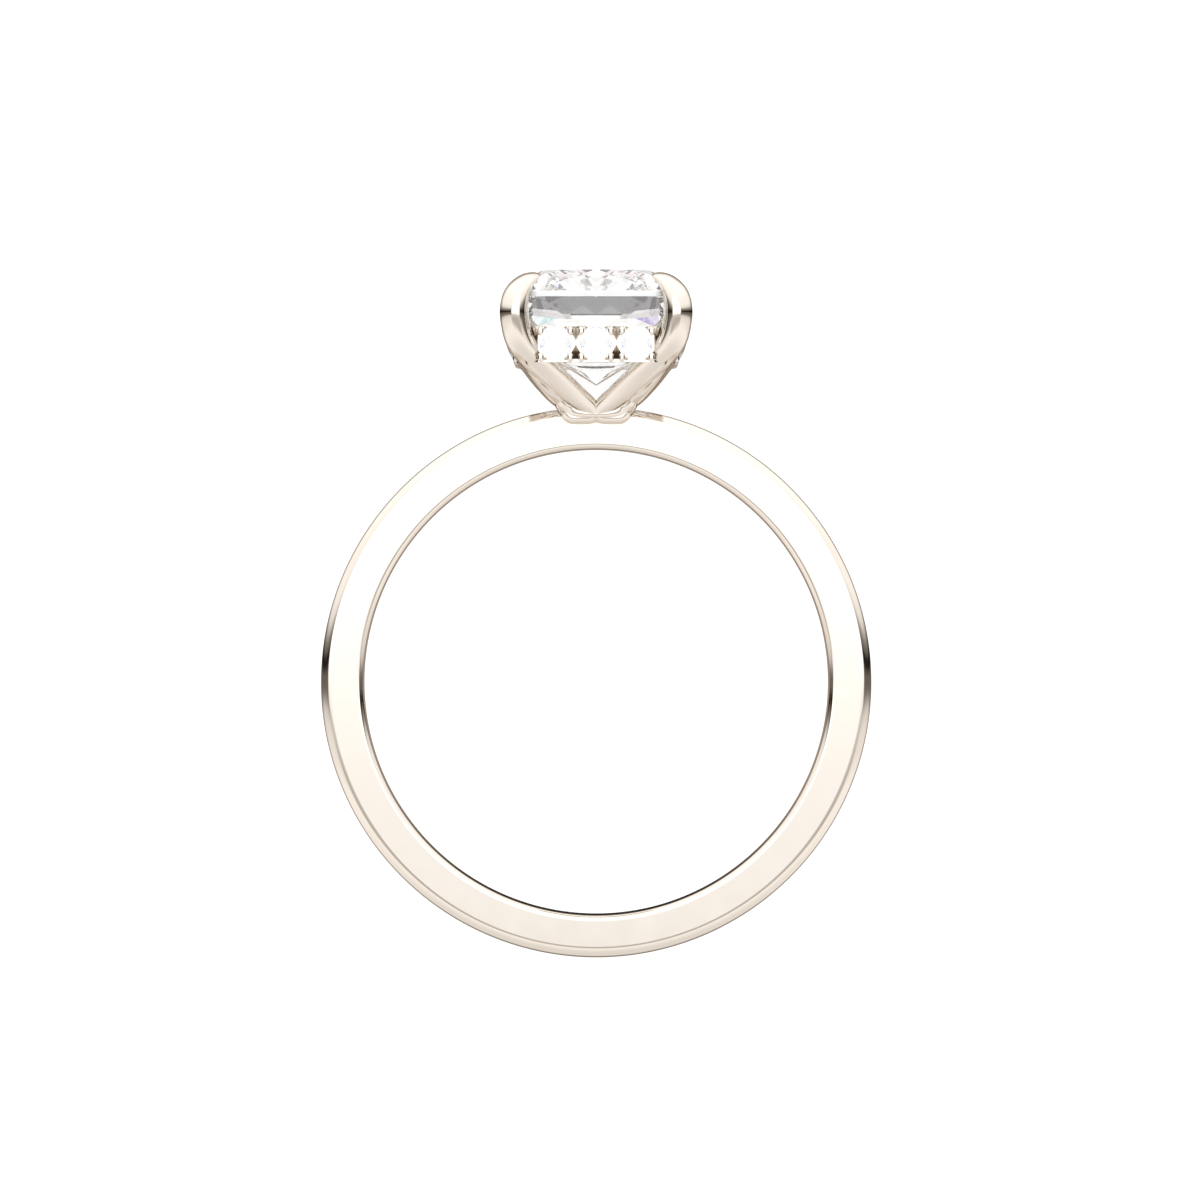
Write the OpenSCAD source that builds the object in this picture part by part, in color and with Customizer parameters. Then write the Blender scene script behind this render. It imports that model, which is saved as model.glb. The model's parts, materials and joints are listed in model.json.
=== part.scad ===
// Hidden halo engagement ring, lying on its side as a ring comes to rest.
// Its pieces are drawn upright: X runs across the finger, Y along it, Z from the finger to the stone.
// at_rest() then lays the ring down: the stone points along +Y, and the floor is z = 0.

/* [Band] */
// Inner diameter of the band, which is the finger size
finger_d = 16.5; // [15:0.1:19]
// Thickness of the band, from the finger to its outer face
band_t = 1.5; // [1.4:0.05:1.7]
// Width of the band along the finger
band_w = 1.8; // [1.7:0.05:2]
// Rounding of the two outer edges of the band
outer_round = 0.4; // [0.3:0.05:0.45]
// Rounding of the two inner edges of the band
inner_round = 0.2; // [0.1:0.05:0.25]

/* [Centre stone] */
// Width of the centre stone at its girdle, across the finger
stone_w = 6; // [5.8:0.1:6.2]
// Length of the centre stone at its girdle, along the finger
stone_l = 7.4; // [7.2:0.1:7.6]
// Size of the cut across each corner, measured along a side
corner_cut = 0.85; // [0.8:0.05:0.9]
// Height of the crown, from the girdle to the table
crown_h = 0.79; // [0.76:0.01:0.82]
// Thickness of the girdle
girdle_h = 0.2; // [0.15:0.01:0.22]
// Depth of the pavilion, from the girdle to the keel
pavilion_h = 2.97; // [2.9:0.01:3.02]
// Height of the table above the outside of the band
table_h = 4.75; // [4.7:0.01:4.8]

/* [Hidden halo] */
// Diameter of each halo stone
halo_d = 1.15; // [1.1:0.01:1.16]
// Distance between two neighbouring halo stones
halo_pitch = 1.42; // [1.4:0.01:1.44]
// Height of the gallery that carries the halo stones
gallery_h = 1.26; // [1.25:0.01:1.3]
// Height of the middle of the gallery above the outside of the band
gallery_mid = 2.1; // [2.05:0.01:2.15]
// Wall thickness of the gallery
gallery_t = 0.45; // [0.43:0.01:0.46]

/* [Hidden] */
$fn = 96;

// Gaps between the stones and the metal that holds them
stone_gap = 0.03;
halo_gap = 0.02;
// How far a cut runs past a face
past = 0.1;

finger_r = finger_d / 2;
band_top = finger_r + band_t;
table_z = band_top + table_h;
girdle_top = table_z - crown_h;
girdle_low = girdle_top - girdle_h;
keel_z = girdle_low - pavilion_h;

// The stone is longer than wide by this much at each end. The corner claws stand out by it along Y.
longer = (stone_l - stone_w) / 2;

function flat(lists) = [for (l = lists) each l];

// Faces between two rings of n points, the lower starting at number a and the upper at b.
// Every ring runs anticlockwise, seen from the end of the path that it lies on.
function band_faces(n, a, b) =
    [for (i = [0 : n - 1]) [a + i, b + i, b + (i + 1) % n, a + (i + 1) % n]];

// The same as triangles, where the upper points lie half a step on
function zig_faces(n, a, b) =
    [
        for (i = [0 : n - 1])
        let (j = (i + 1) % n)
        each [[a + i, b + i, a + j], [a + j, b + i, b + j]]
    ];

// The same as triangles, where the upper points lie half a step back
function zag_faces(n, a, b) =
    [
        for (i = [0 : n - 1])
        let (j = (i + 1) % n)
        each [[a + i, b + i, b + j], [a + i, b + j, a + j]]
    ];

function low_cap(n, a) = [[for (i = [0 : n - 1]) a + i]];
function high_cap(n, a) = [[for (i = [n - 1 : -1 : 0]) a + i]];

// Smooth values between stations b and c of a path, with a and d as their neighbours
function spline(a, b, c, d, t) =
    0.5 * (2 * b + (c - a) * t + (2 * a - 5 * b + 4 * c - d) * t * t
    + (3 * b - a - 3 * c + d) * t * t * t);

// The values at u, from 0 at the first station to 1 at the last
function path(rows, u) =
    let (
        last = len(rows) - 1,
        i = min(floor(u * last), last - 1)
    )
    spline(
        rows[max(i - 1, 0)], rows[i], rows[i + 1], rows[min(i + 2, last)],
        u * last - i
    );

// Stations of a corner claw and the front leg that it runs down into, from the tip to the base.
// x and y: middle of the bar, across and along the finger. h: its height above the band.
// wide and deep: half sizes of its section.
// turn: where the deep side faces, 45 out of the corner and 90 out of the front.
// boxy: 1 is an oval section, and less than 1 is squarer.
claw_rows = [
    // x, y, h, wide, deep, turn, boxy
    [2.02, 2.02 + longer, 4.49, 0.16, 0.08, 45, 1.00],
    [2.20, 2.20 + longer, 4.47, 0.31, 0.18, 45, 1.00],
    [2.50, 2.50 + longer, 4.27, 0.43, 0.29, 45, 0.98],
    [2.77, 2.77 + longer, 3.85, 0.50, 0.40, 45, 0.95],
    [2.86, 2.86 + longer, 3.33, 0.52, 0.46, 45, 0.92],
    [2.82, 2.82 + longer, 2.80, 0.52, 0.46, 45, 0.92],
    [2.68, 2.68 + longer, 2.28, 0.52, 0.45, 48, 0.90],
    [2.38, 2.40 + longer, 1.82, 0.50, 0.42, 56, 0.86],
    [1.92, 1.96 + longer, 1.40, 0.46, 0.38, 68, 0.82],
    [1.29, 1.30 + longer, 0.87, 0.42, 0.36, 80, 0.80],
    [0.68, 1.43, 0.36, 0.37, 0.34, 88, 0.80],
    [0.22, 1.13, 0.00, 0.30, 0.30, 90, 0.86],
    [0.02, 1.02, -0.28, 0.20, 0.28, 90, 0.90]
];

// Stations of the second leg of the same claw. It faces the side as it comes down to the base, and then
// runs inwards over the front of the base.
side_rows = [
    // x, y, h, wide, deep, turn, boxy
    [2.70, 2.66 + longer, 2.42, 0.34, 0.34, 45, 0.90],
    [2.47, 2.14 + longer, 1.84, 0.42, 0.39, 34, 0.88],
    [2.12, 1.60 + longer, 1.32, 0.44, 0.38, 20, 0.84],
    [1.67, 0.96 + longer, 0.82, 0.44, 0.37, 8, 0.80],
    [1.28, 1.07, 0.42, 0.42, 0.36, 2, 0.78],
    [1.12, 1.00, 0.11, 0.36, 0.31, 14, 0.80],
    [0.87, 1.00, -0.12, 0.33, 0.31, 45, 0.86],
    [0.50, 1.08, -0.24, 0.22, 0.24, 80, 0.94],
    [0.00, 1.10, -0.28, 0.18, 0.22, 90, 0.96]
];

// Points round a bar, and steps along it from one station to the next
bar_sides = 14;
bar_steps = 2;

// A sine or cosine that is fuller at the corners of a squarer section
function boxed(v, boxy) = sign(v) * pow(abs(v), boxy);

// Rings of points round a bar, one after another along its path
function bar_rings(rows) =
    let (steps = (len(rows) - 1) * bar_steps)
    [
        for (k = [0 : steps])
        let (
            s = path(rows, k / steps),
            back = path(rows, max(k - 0.2, 0) / steps),
            fore = path(rows, min(k + 0.2, steps) / steps),
            run = [for (i = [0 : 2]) fore[i] - back[i]],
            along = run / norm(run),
            facing = [cos(s[5]), sin(s[5]), 0],
            square_on = facing - (facing * along) * along,
            out = square_on / norm(square_on),
            across = cross(along, out)
        )
        [
            for (j = [0 : bar_sides - 1])
            let (a = 360 * j / bar_sides)
            [s[0], s[1], s[2] + band_top] + s[3] * boxed(sin(a), s[6]) * across
                + s[4] * boxed(cos(a), s[6]) * out
        ]
    ];

// A bar swept through its stations
module bar(rows) {
    rings = bar_rings(rows);
    n = bar_sides;
    steps = len(rings) - 1;
    polyhedron(
        points = flat(rings),
        faces = concat(
            flat([for (k = [0 : steps - 1]) band_faces(n, k * n, (k + 1) * n)]),
            low_cap(n, 0),
            high_cap(n, steps * n)
        )
    );
}

// The same thing at all four corners
module at_corners() {
    for (x = [0, 1], y = [0, 1]) {
        mirror([x, 0, 0]) mirror([0, y, 0]) children();
    }
}

// Turned about the finger's axis
module round_the_finger() {
    rotate([90, 0, 0]) rotate_extrude() children();
}

// Section of the band, with the finger's axis as its Y axis
module band_section() {
    half = band_w / 2;
    middle = band_t / 2;
    inner = finger_r + inner_round;
    outer = band_top - outer_round;
    translate([inner, -half]) square([outer - inner, band_w]);
    translate([finger_r, inner_round - half]) square([middle, band_w - 2 * inner_round]);
    translate([finger_r + middle, outer_round - half]) square([middle, band_w - 2 * outer_round]);
    for (s = [-1, 1]) {
        translate([inner, s * (half - inner_round)]) circle(inner_round);
        translate([outer, s * (half - outer_round)]) circle(outer_round);
    }
}

module shank() {
    round_the_finger() band_section();
}

// The base is two barrels side by side. They sit astride the band and show in front as two lips.
// A barrel is squarer than round. It is a large disc and a small one outside it, which share their lowest
// line, with a slab between them: the x of the discs' middles, and their radii.
lobe_x = [0.36, 0.8];
lobe_r = [0.9, 0.45];
lobe_reach = 1.25;
lobe_round = 0.22;
lip_low = 0.62;
base_high = 0.12;

// A disc with rounded rims, centred, with its axis along Z
module rimmed_disc(r, reach, rim) {
    cylinder(r = r, h = 2 * (reach - rim), center = true);
    cylinder(r = r - rim, h = 2 * reach, center = true);
    for (s = [-1, 1]) {
        translate([0, 0, s * (reach - rim)])
            rotate_extrude() translate([r - rim, 0]) circle(rim);
    }
}

// A slab from x = 0 to width that stands on z = 0, with its lower edges rounded as the rims are
module rimmed_slab(width, high, reach, rim) {
    translate([0, -reach, rim]) cube([width, 2 * reach, high - rim]);
    translate([0, rim - reach, 0]) cube([width, 2 * (reach - rim), 2 * rim]);
    for (s = [-1, 1]) {
        translate([0, s * (reach - rim), rim]) rotate([0, 90, 0]) cylinder(r = rim, h = width);
    }
}

module base() {
    wide = lobe_x[0] + lobe_r[0];
    low = band_top - lip_low;
    intersection() {
        for (x = [0, 1]) mirror([x, 0, 0]) {
            for (i = [0, 1]) {
                translate([lobe_x[i], 0, low + lobe_r[i]]) rotate([90, 0, 0])
                    rimmed_disc(lobe_r[i], lobe_reach, lobe_round);
            }
            translate([lobe_x[0], 0, low])
                rimmed_slab(lobe_x[1] - lobe_x[0], lobe_r[1], lobe_reach, lobe_round);
        }
        translate([-wide, -2 * lobe_reach, low - past])
            cube([2 * wide, 4 * lobe_reach, lip_low + base_high + past]);
    }
}

module claws_and_legs() {
    difference() {
        at_corners() {
            bar(claw_rows);
            bar(side_rows);
        }
        stone_body(stone_gap);
        for (side = halo_sides, k = [1, side[2]]) on_side(side, k) halo_seat();
    }
}

// Half sizes of the gallery, and the cut across its corners
gallery_in = 0.22;
gallery_x = stone_w / 2 - gallery_in;
gallery_y = stone_l / 2 - gallery_in;
gallery_cut = 0.75;
gallery_z = band_top + gallery_mid;

// Sides of the gallery: the turn from the front, how far out it lies, its number of stones, its name
halo_sides = [
    // turn, reach, count, name
    [0, gallery_y, 3, "front"],
    [90, gallery_x, 4, "right"],
    [180, gallery_y, 3, "back"],
    [270, gallery_x, 4, "left"]
];

// The halo stones sit this far above the gallery's middle, and their girdles this far out of its face
halo_up = 0.05;
halo_out = 0.05;
// Heights of its brilliant cut, as shares of its diameter
halo_crown = 0.15;
halo_girdle = 0.03;
halo_pavilion = 0.43;
// Radii of its table, its star facets' tips and its lower facets' tips, as shares of its radius
halo_table = 0.56;
halo_star = 0.78;
halo_lower = 0.24;
// Points of its table
cut_n = 8;
// Height of the star facets' tips, as a share of the crown
halo_star_h = (1 - halo_star * cos(180 / cut_n)) / (1 - halo_table);

// Beads are the small claws that hold the halo stones, four to each
bead_w = 0.22;
bead_l = 0.32;
bead_x = 0.515;
bead_y = 0.46;
bead_out = 0.14;
bead_root = 0.3;

// Notches between neighbouring halo stones. Each slopes into the wall from a point near the middle.
notch_start = 0.06;
notch_slope = 32;
notch_half = 0.36;
notch_rail = 0.11;
// Hole behind each stone
azure_r = 0.2;

// Puts a thing at stone k of a side, with its Y upwards and its Z out of the gallery's face
module on_side(side, k) {
    rotate([0, 0, side[0]])
        translate([(k - (side[2] + 1) / 2) * halo_pitch, -side[1], gallery_z + halo_up])
        rotate([90, 0, 0])
        children();
}

// An upright block whose four corners are cut
module cut_corner_block(x, y, c, low, high) {
    translate([0, 0, low])
        linear_extrude(high - low)
        polygon([
            [x - c, -y], [x, c - y], [x, y - c], [x - c, y],
            [c - x, y], [-x, y - c], [-x, c - y], [c - x, -y]
        ]);
}

// The space of a halo stone with a gap round it, and the hole behind the stone
module halo_seat() {
    half = halo_d * halo_girdle / 2;
    crown = halo_d * halo_crown;
    deep = half + halo_d * halo_pavilion + halo_gap;
    top = half + crown + halo_gap;
    r = halo_d / 2;
    translate([0, 0, halo_out])
        rotate_extrude()
        polygon([
            [0, -deep], [r + halo_gap, -half], [r + halo_gap, half],
            [r * halo_star + halo_gap, half + crown * halo_star_h + halo_gap],
            [r * halo_table + halo_gap, top], [0, top]
        ]);
    translate([0, 0, -gallery_t - past]) cylinder(r = azure_r, h = gallery_t);
}

// A notch with a crease down its middle, which deepens upwards
module notch() {
    translate([0, notch_start, 0])
        rotate([-90 - notch_slope, 0, 0])
        linear_extrude(gallery_h)
        polygon([[0, 0], [notch_half, -notch_half], [-notch_half, -notch_half]]);
}

module bead() {
    straight = bead_l - bead_w;
    translate([0, 0, -bead_root])
        linear_extrude(bead_root + bead_out) {
            square([bead_w, straight], center = true);
            for (s = [-1, 1]) translate([0, s * straight / 2]) circle(bead_w / 2);
        }
}

module gallery_wall() {
    half = gallery_h / 2;
    inner_x = gallery_x - gallery_t;
    inner_y = gallery_y - gallery_t;
    inner_cut = gallery_cut - gallery_t * (2 - sqrt(2));
    difference() {
        cut_corner_block(gallery_x, gallery_y, gallery_cut, gallery_z - half, gallery_z + half);
        cut_corner_block(
            inner_x, inner_y, inner_cut, gallery_z - half - past, gallery_z + half + past
        );
        for (side = halo_sides, k = [0 : side[2]]) {
            on_side(side, k + 0.5) {
                notch();
                intersection() {
                    mirror([0, 1, 0]) notch();
                    translate([-halo_d / 2, notch_rail - half - halo_up, -gallery_t])
                        cube([halo_d, half, 2 * gallery_t]);
                }
            }
        }
    }
}

module gallery() {
    difference() {
        union() {
            gallery_wall();
            for (side = halo_sides, k = [1 : side[2]]) {
                on_side(side, k) {
                    for (x = [-bead_x, bead_x], y = [-bead_y, bead_y]) {
                        translate([x, y - halo_up, 0]) bead();
                    }
                }
            }
        }
        for (side = halo_sides, k = [1 : side[2]]) {
            on_side(side, k) halo_seat();
        }
    }
}

// Outline of the centre stone with its corners cut, drawn in by inset on every side.
// It starts at the front right, and each long side bows out by bow at its middle.
function stone_ring(inset, z, bow) =
    let (
        x = stone_w / 2 - inset,
        y = stone_l / 2 - inset,
        c = corner_cut * (1 - inset / (stone_w / 2)),
        a = x - bow,
        b = y - bow
    )
    [
        [a - c, -b, z], [a, c - b, z], [x, 0, z], [a, b - c, z], [a - c, b, z], [0, y, z],
        [c - a, b, z], [-a, b - c, z], [-x, 0, z], [-a, c - b, z], [c - a, -b, z], [0, -y, z]
    ];

// Points halfway between those of an outline. Those at the cut corners are pushed out by push.
function between(ring, push) =
    [
        for (i = [0 : len(ring) - 1])
        let (p = (ring[i] + ring[(i + 1) % len(ring)]) / 2)
        i % 3 == 0 ? p + push * [sign(p[0]), sign(p[1]), 0] : p
    ];

// Points round the stone at each level
ring_n = 12;
// The levels: how far in from the girdle they lie, and how high or deep
table_inset = 1.0;
table_bow = 0.1;
star_inset = 0.36;
star_h = 0.47;
star_push = 0.08;
girdle_bow = 0.05;
step_inset = 0.35;
step_deep = 0.6;
step_bow = 0.05;
step_push = 0.2;
deep_inset = 1.81;
deep_high = 0.71;
deep_bow = 0.08;

// End of the keel, 0 in front and 1 behind, below each step from a point of the deepest ring on.
// The keel itself lies below points 2 and 8.
keel_ends = [0, 0, 1, 1, 1, 1, 1, 1, 0, 0, 0, 0];

// The centre stone, bigger by grow on every side
module stone_body(grow) {
    n = ring_n;
    points = concat(
        [[0, -longer, keel_z - grow], [0, longer, keel_z - grow]],
        stone_ring(deep_inset - grow, keel_z + deep_high - grow, deep_bow),
        between(stone_ring(step_inset - grow, girdle_low - step_deep, step_bow), step_push),
        stone_ring(-grow, girdle_low, girdle_bow),
        stone_ring(-grow, girdle_top, girdle_bow),
        between(stone_ring(star_inset - grow, girdle_top + star_h, girdle_bow), star_push),
        stone_ring(table_inset - grow, table_z + grow, table_bow)
    );
    deep = 2;
    step = deep + n;
    low = step + n;
    top = low + n;
    star = top + n;
    table = star + n;
    keel_faces = [for (i = [0 : n - 1]) [keel_ends[i], deep + i, deep + (i + 1) % n]];
    polyhedron(
        points = points,
        faces = concat(
            keel_faces,
            [[0, deep + 2, 1], [1, deep + 8, 0]],
            zig_faces(n, deep, step),
            zag_faces(n, step, low),
            band_faces(n, low, top),
            zig_faces(n, top, star),
            zag_faces(n, star, table),
            high_cap(n, table)
        )
    );
}

// A round brilliant with its girdle at height 0 and its table on top
module brilliant(d) {
    n = cut_n;
    half = d * halo_girdle / 2;
    r = d / 2;
    table_r = r * halo_table;
    star_r = r * halo_star;
    lower_r = r * halo_lower;
    crown = d * halo_crown;
    pavilion = d * halo_pavilion;
    turn = 360 / n;
    near = cos(turn / 2);
    lower_z = -half - pavilion * (1 - lower_r * near / r);
    star_z = half + crown * halo_star_h;
    points = concat(
        [[0, 0, -half - pavilion]],
        [for (k = [0.5 : n]) [lower_r * cos(k * turn), lower_r * sin(k * turn), lower_z]],
        [for (k = [0 : 0.5 : n - 0.5]) [r * cos(k * turn), r * sin(k * turn), -half]],
        [for (k = [0 : 0.5 : n - 0.5]) [r * cos(k * turn), r * sin(k * turn), half]],
        [for (k = [0.5 : n]) [star_r * cos(k * turn), star_r * sin(k * turn), star_z]],
        [for (k = [0 : n - 1]) [table_r * cos(k * turn), table_r * sin(k * turn), half + crown]]
    );
    lower = 1;
    low = lower + n;
    top = low + 2 * n;
    star = top + 2 * n;
    table = star + n;
    facets = [
        for (k = [0 : n - 1])
        let (
            before = (k + n - 1) % n,
            next = (k + 1) % n
        )
        each [
            [0, lower + before, low + 2 * k, lower + k],
            [lower + k, low + 2 * k, low + 2 * k + 1],
            [lower + k, low + 2 * k + 1, low + 2 * next],
            [top + 2 * k, star + k, top + 2 * k + 1],
            [top + 2 * k + 1, star + k, top + 2 * next],
            [top + 2 * k, star + before, table + k, star + k],
            [star + k, table + k, table + next]
        ]
    ];
    polyhedron(
        points = points,
        faces = concat(facets, band_faces(2 * n, low, top), high_cap(n, table))
    );
}

// At rest the ring touches the floor with the outer edge of its band, opposite the stone,
// and with two claws. Every point of the claws is tried, and the one that tilts it most counts.
edge_y = band_top - outer_round;
edge_z = band_w / 2 - outer_round;
claw_points = flat(bar_rings(claw_rows));
tilt = max([
    for (p = claw_points)
    let (
        run = p[2] + edge_y,
        drop = p[1] - edge_z
    )
    atan2(drop, run) - asin(outer_round / norm([run, drop]))
]);
stone_end = max(
    table_z * cos(tilt) + (stone_l / 2 - table_inset) * sin(tilt),
    max([for (p = claw_points) p[2] * cos(tilt) + p[1] * sin(tilt)])
);
band_end = edge_y * cos(tilt) + edge_z * sin(tilt) + outer_round;
rest_y = (band_end - stone_end) / 2;
rest_z = edge_y * sin(tilt) + edge_z * cos(tilt) + outer_round;

module at_rest() {
    translate([0, rest_y, rest_z]) rotate([tilt - 90, 0, 0]) children();
}

module mounting() {
    color("gainsboro") {
        at_rest() {
            shank();
            base();
            claws_and_legs();
            gallery();
        }
    }
}

module centre_stone() {
    color("aliceblue") at_rest() stone_body(0);
}

module halo_stone(side, k) {
    color("azure") at_rest() on_side(side, k) translate([0, 0, halo_out]) brilliant(halo_d);
}

mounting();
centre_stone();
for (side = halo_sides, k = [1 : side[2]]) {
    halo_stone(side, k);
}
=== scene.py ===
# %% [markdown]
# # A hidden halo engagement ring
#
# This lesson dresses a ring that was built as solids: a flat band of white gold, four claws that hold a
# cut-corner diamond, and a row of small diamonds hidden below it. The solids come in as a fixed frame. They
# are right in size and place, but their metal is made of coarse flat faces. Polished metal shows every
# face, so the metal is made again here, finer and in the same form. The stones are right as they are,
# because facets are flat, and only get their material.

# %% Load the frame
import json
import math

import bpy
import bmesh
from mathutils import Matrix, Vector


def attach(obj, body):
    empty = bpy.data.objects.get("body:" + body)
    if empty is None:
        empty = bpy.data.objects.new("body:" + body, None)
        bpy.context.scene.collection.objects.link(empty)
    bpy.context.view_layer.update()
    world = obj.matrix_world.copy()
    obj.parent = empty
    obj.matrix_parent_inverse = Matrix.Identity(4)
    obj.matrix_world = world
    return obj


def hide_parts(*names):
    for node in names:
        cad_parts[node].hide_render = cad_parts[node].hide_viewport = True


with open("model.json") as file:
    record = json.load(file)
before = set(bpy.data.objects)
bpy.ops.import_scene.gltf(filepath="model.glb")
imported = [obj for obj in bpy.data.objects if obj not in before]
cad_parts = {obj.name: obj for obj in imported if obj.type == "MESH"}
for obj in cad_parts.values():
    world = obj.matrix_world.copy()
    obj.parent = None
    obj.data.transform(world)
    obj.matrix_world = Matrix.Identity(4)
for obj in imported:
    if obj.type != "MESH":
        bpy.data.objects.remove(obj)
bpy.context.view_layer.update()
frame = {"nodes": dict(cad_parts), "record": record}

# %% [markdown]
# ## Draw upright, then lay down
#
# A ring is easiest to think of upright, with the stone on top: X runs across the finger, Y along it, away
# from the viewer, and Z up to the stone. The real one lies on its side. The record says where the middle
# of the finger hole is and which way its axis points, so those two give the turn and the move that lay
# anything drawn upright, in millimetres, where the ring lies, in metres.

# %% From upright millimetres to the ring's resting place
hole = next(m for m in frame["record"]["mounts"] if m["name"] == "finger_hole")
ACROSS = Vector((1, 0, 0))
AWAY = -Vector(hole["axis"]).normalized()
TO_STONE = ACROSS.cross(AWAY)
LAY = Matrix.Translation(hole["pos_m"]) @ Matrix((ACROSS, AWAY, TO_STONE)).transposed().to_4x4()
LAY = LAY @ Matrix.Scale(0.001, 4)
print("The ring leans by", round(math.degrees(math.asin(TO_STONE.z)), 2), "degrees")

# %% [markdown]
# ## Sizes
#
# These are the ring's own sizes, in millimetres. Heights of the claws and the gallery are measured from
# the outside of the band, because that is where a jeweller starts to build the head.

# %% Sizes in millimetres
finger_d = 16.5
band_t = 1.5
band_w = 1.8
outer_round = 0.4
inner_round = 0.2
band_top = finger_d / 2 + band_t

stone_w = 6.0
stone_l = 7.4
stone_gap = 0.03
girdle_low = band_top + 3.76
girdle_top = band_top + 3.96
longer = (stone_l - stone_w) / 2

halo_d = 1.15
halo_pitch = 1.42
halo_gap = 0.02
halo_up = 0.05
gallery_h = 1.26
gallery_t = 0.45
gallery_x = stone_w / 2 - 0.22
gallery_y = stone_l / 2 - 0.22
gallery_z = band_top + 2.1
gallery_cut = 0.75
print("The outside of the band is", 2 * band_top, "mm across")

# %% [markdown]
# ## Two helpers
#
# Node trees are written in code here, so one function adds a node, sets it up and fills its inputs. An
# input takes either a value or another node's output. A second function runs a geometry tree on an empty
# holder and keeps the result as a plain mesh, so that nothing live is left behind.

# %% Add a node, and turn a tree into a mesh
def add_node(tree, kind, inputs=None, **settings):
    """Adds a node. inputs maps a socket's name or number to a value or to an output socket."""
    node = tree.nodes.new(kind)
    for name, value in settings.items():
        setattr(node, name, value)
    for key, value in (inputs or {}).items():
        if isinstance(value, bpy.types.NodeSocket):
            tree.links.new(value, node.inputs[key])
        else:
            node.inputs[key].default_value = value
    return node


def new_tree(name, **kinds):
    """A geometry tree with named inputs. It returns the tree and its Group Input node."""
    tree = bpy.data.node_groups.new(name, "GeometryNodeTree")
    for label, kind in kinds.items():
        tree.interface.new_socket(label, in_out="INPUT", socket_type="NodeSocket" + kind)
    tree.interface.new_socket("Geometry", in_out="OUTPUT", socket_type="NodeSocketGeometry")
    return tree, tree.nodes.new("NodeGroupInput")


def finish_tree(tree, given, shape):
    """Ends a tree in Realize Instances and Set Material."""
    real = add_node(tree, "GeometryNodeRealizeInstances", {0: shape})
    dressed = add_node(
        tree, "GeometryNodeSetMaterial",
        {"Geometry": real.outputs[0], "Material": given.outputs["Material"]},
    )
    add_node(tree, "NodeGroupOutput", {0: dressed.outputs[0]})


def run_tree(tree, name, **values):
    """The tree's result with these inputs, as a plain mesh object."""
    holder = bpy.data.objects.new(name, bpy.data.meshes.new(name))
    bpy.context.scene.collection.objects.link(holder)
    modifier = holder.modifiers.new("Tree", "NODES")
    modifier.node_group = tree
    for item in tree.interface.items_tree:
        if item.in_out == "INPUT" and item.name in values:
            modifier[item.identifier] = values[item.name]
    return settle(holder)


def settle(thing):
    """Replaces an object's mesh by what its modifiers make of it, and removes them."""
    seen = thing.evaluated_get(bpy.context.evaluated_depsgraph_get())
    mesh = bpy.data.meshes.new_from_object(seen)
    thing.modifiers.clear()
    thing.data = mesh
    return thing


# %% [markdown]
# ## White gold
#
# The metal is white gold, polished and plated with rhodium, which is what makes it so bright. A metal has
# no colour of its own under the surface: it is a mirror that tints what it mirrors, here very slightly
# ivory. Even a good polish isn't perfect. Buffing leaves a haze that differs from place to place and
# hair-thin lines, so the roughness varies a little, and a faint bump bends the reflections. Notches and
# corners get painted shade. Ambient occlusion tells how much of the open air a point sees close by, and
# where it sees little, the colour is painted a darker taupe-brown. Behind the stones the colour is painted
# the other way: the metal that is seen through a stone is painted plain white, as a painted highlight.

# %% Colours and empty materials
def linear(hex_colour):
    """A linear colour with alpha from an sRGB hex value."""
    values = [int(hex_colour[i:i + 2], 16) / 255 for i in (1, 3, 5)]
    return [v / 12.92 if v <= 0.04045 else ((v + 0.055) / 1.055) ** 2.4 for v in values] + [1]


def new_material(name):
    """An empty material and its tree."""
    material = bpy.data.materials.new(name)
    material.use_nodes = True
    material.node_tree.nodes.clear()
    return material, material.node_tree


print("Ivory is", [round(v, 3) for v in linear("#E8E1D8")], "in linear light")


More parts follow.
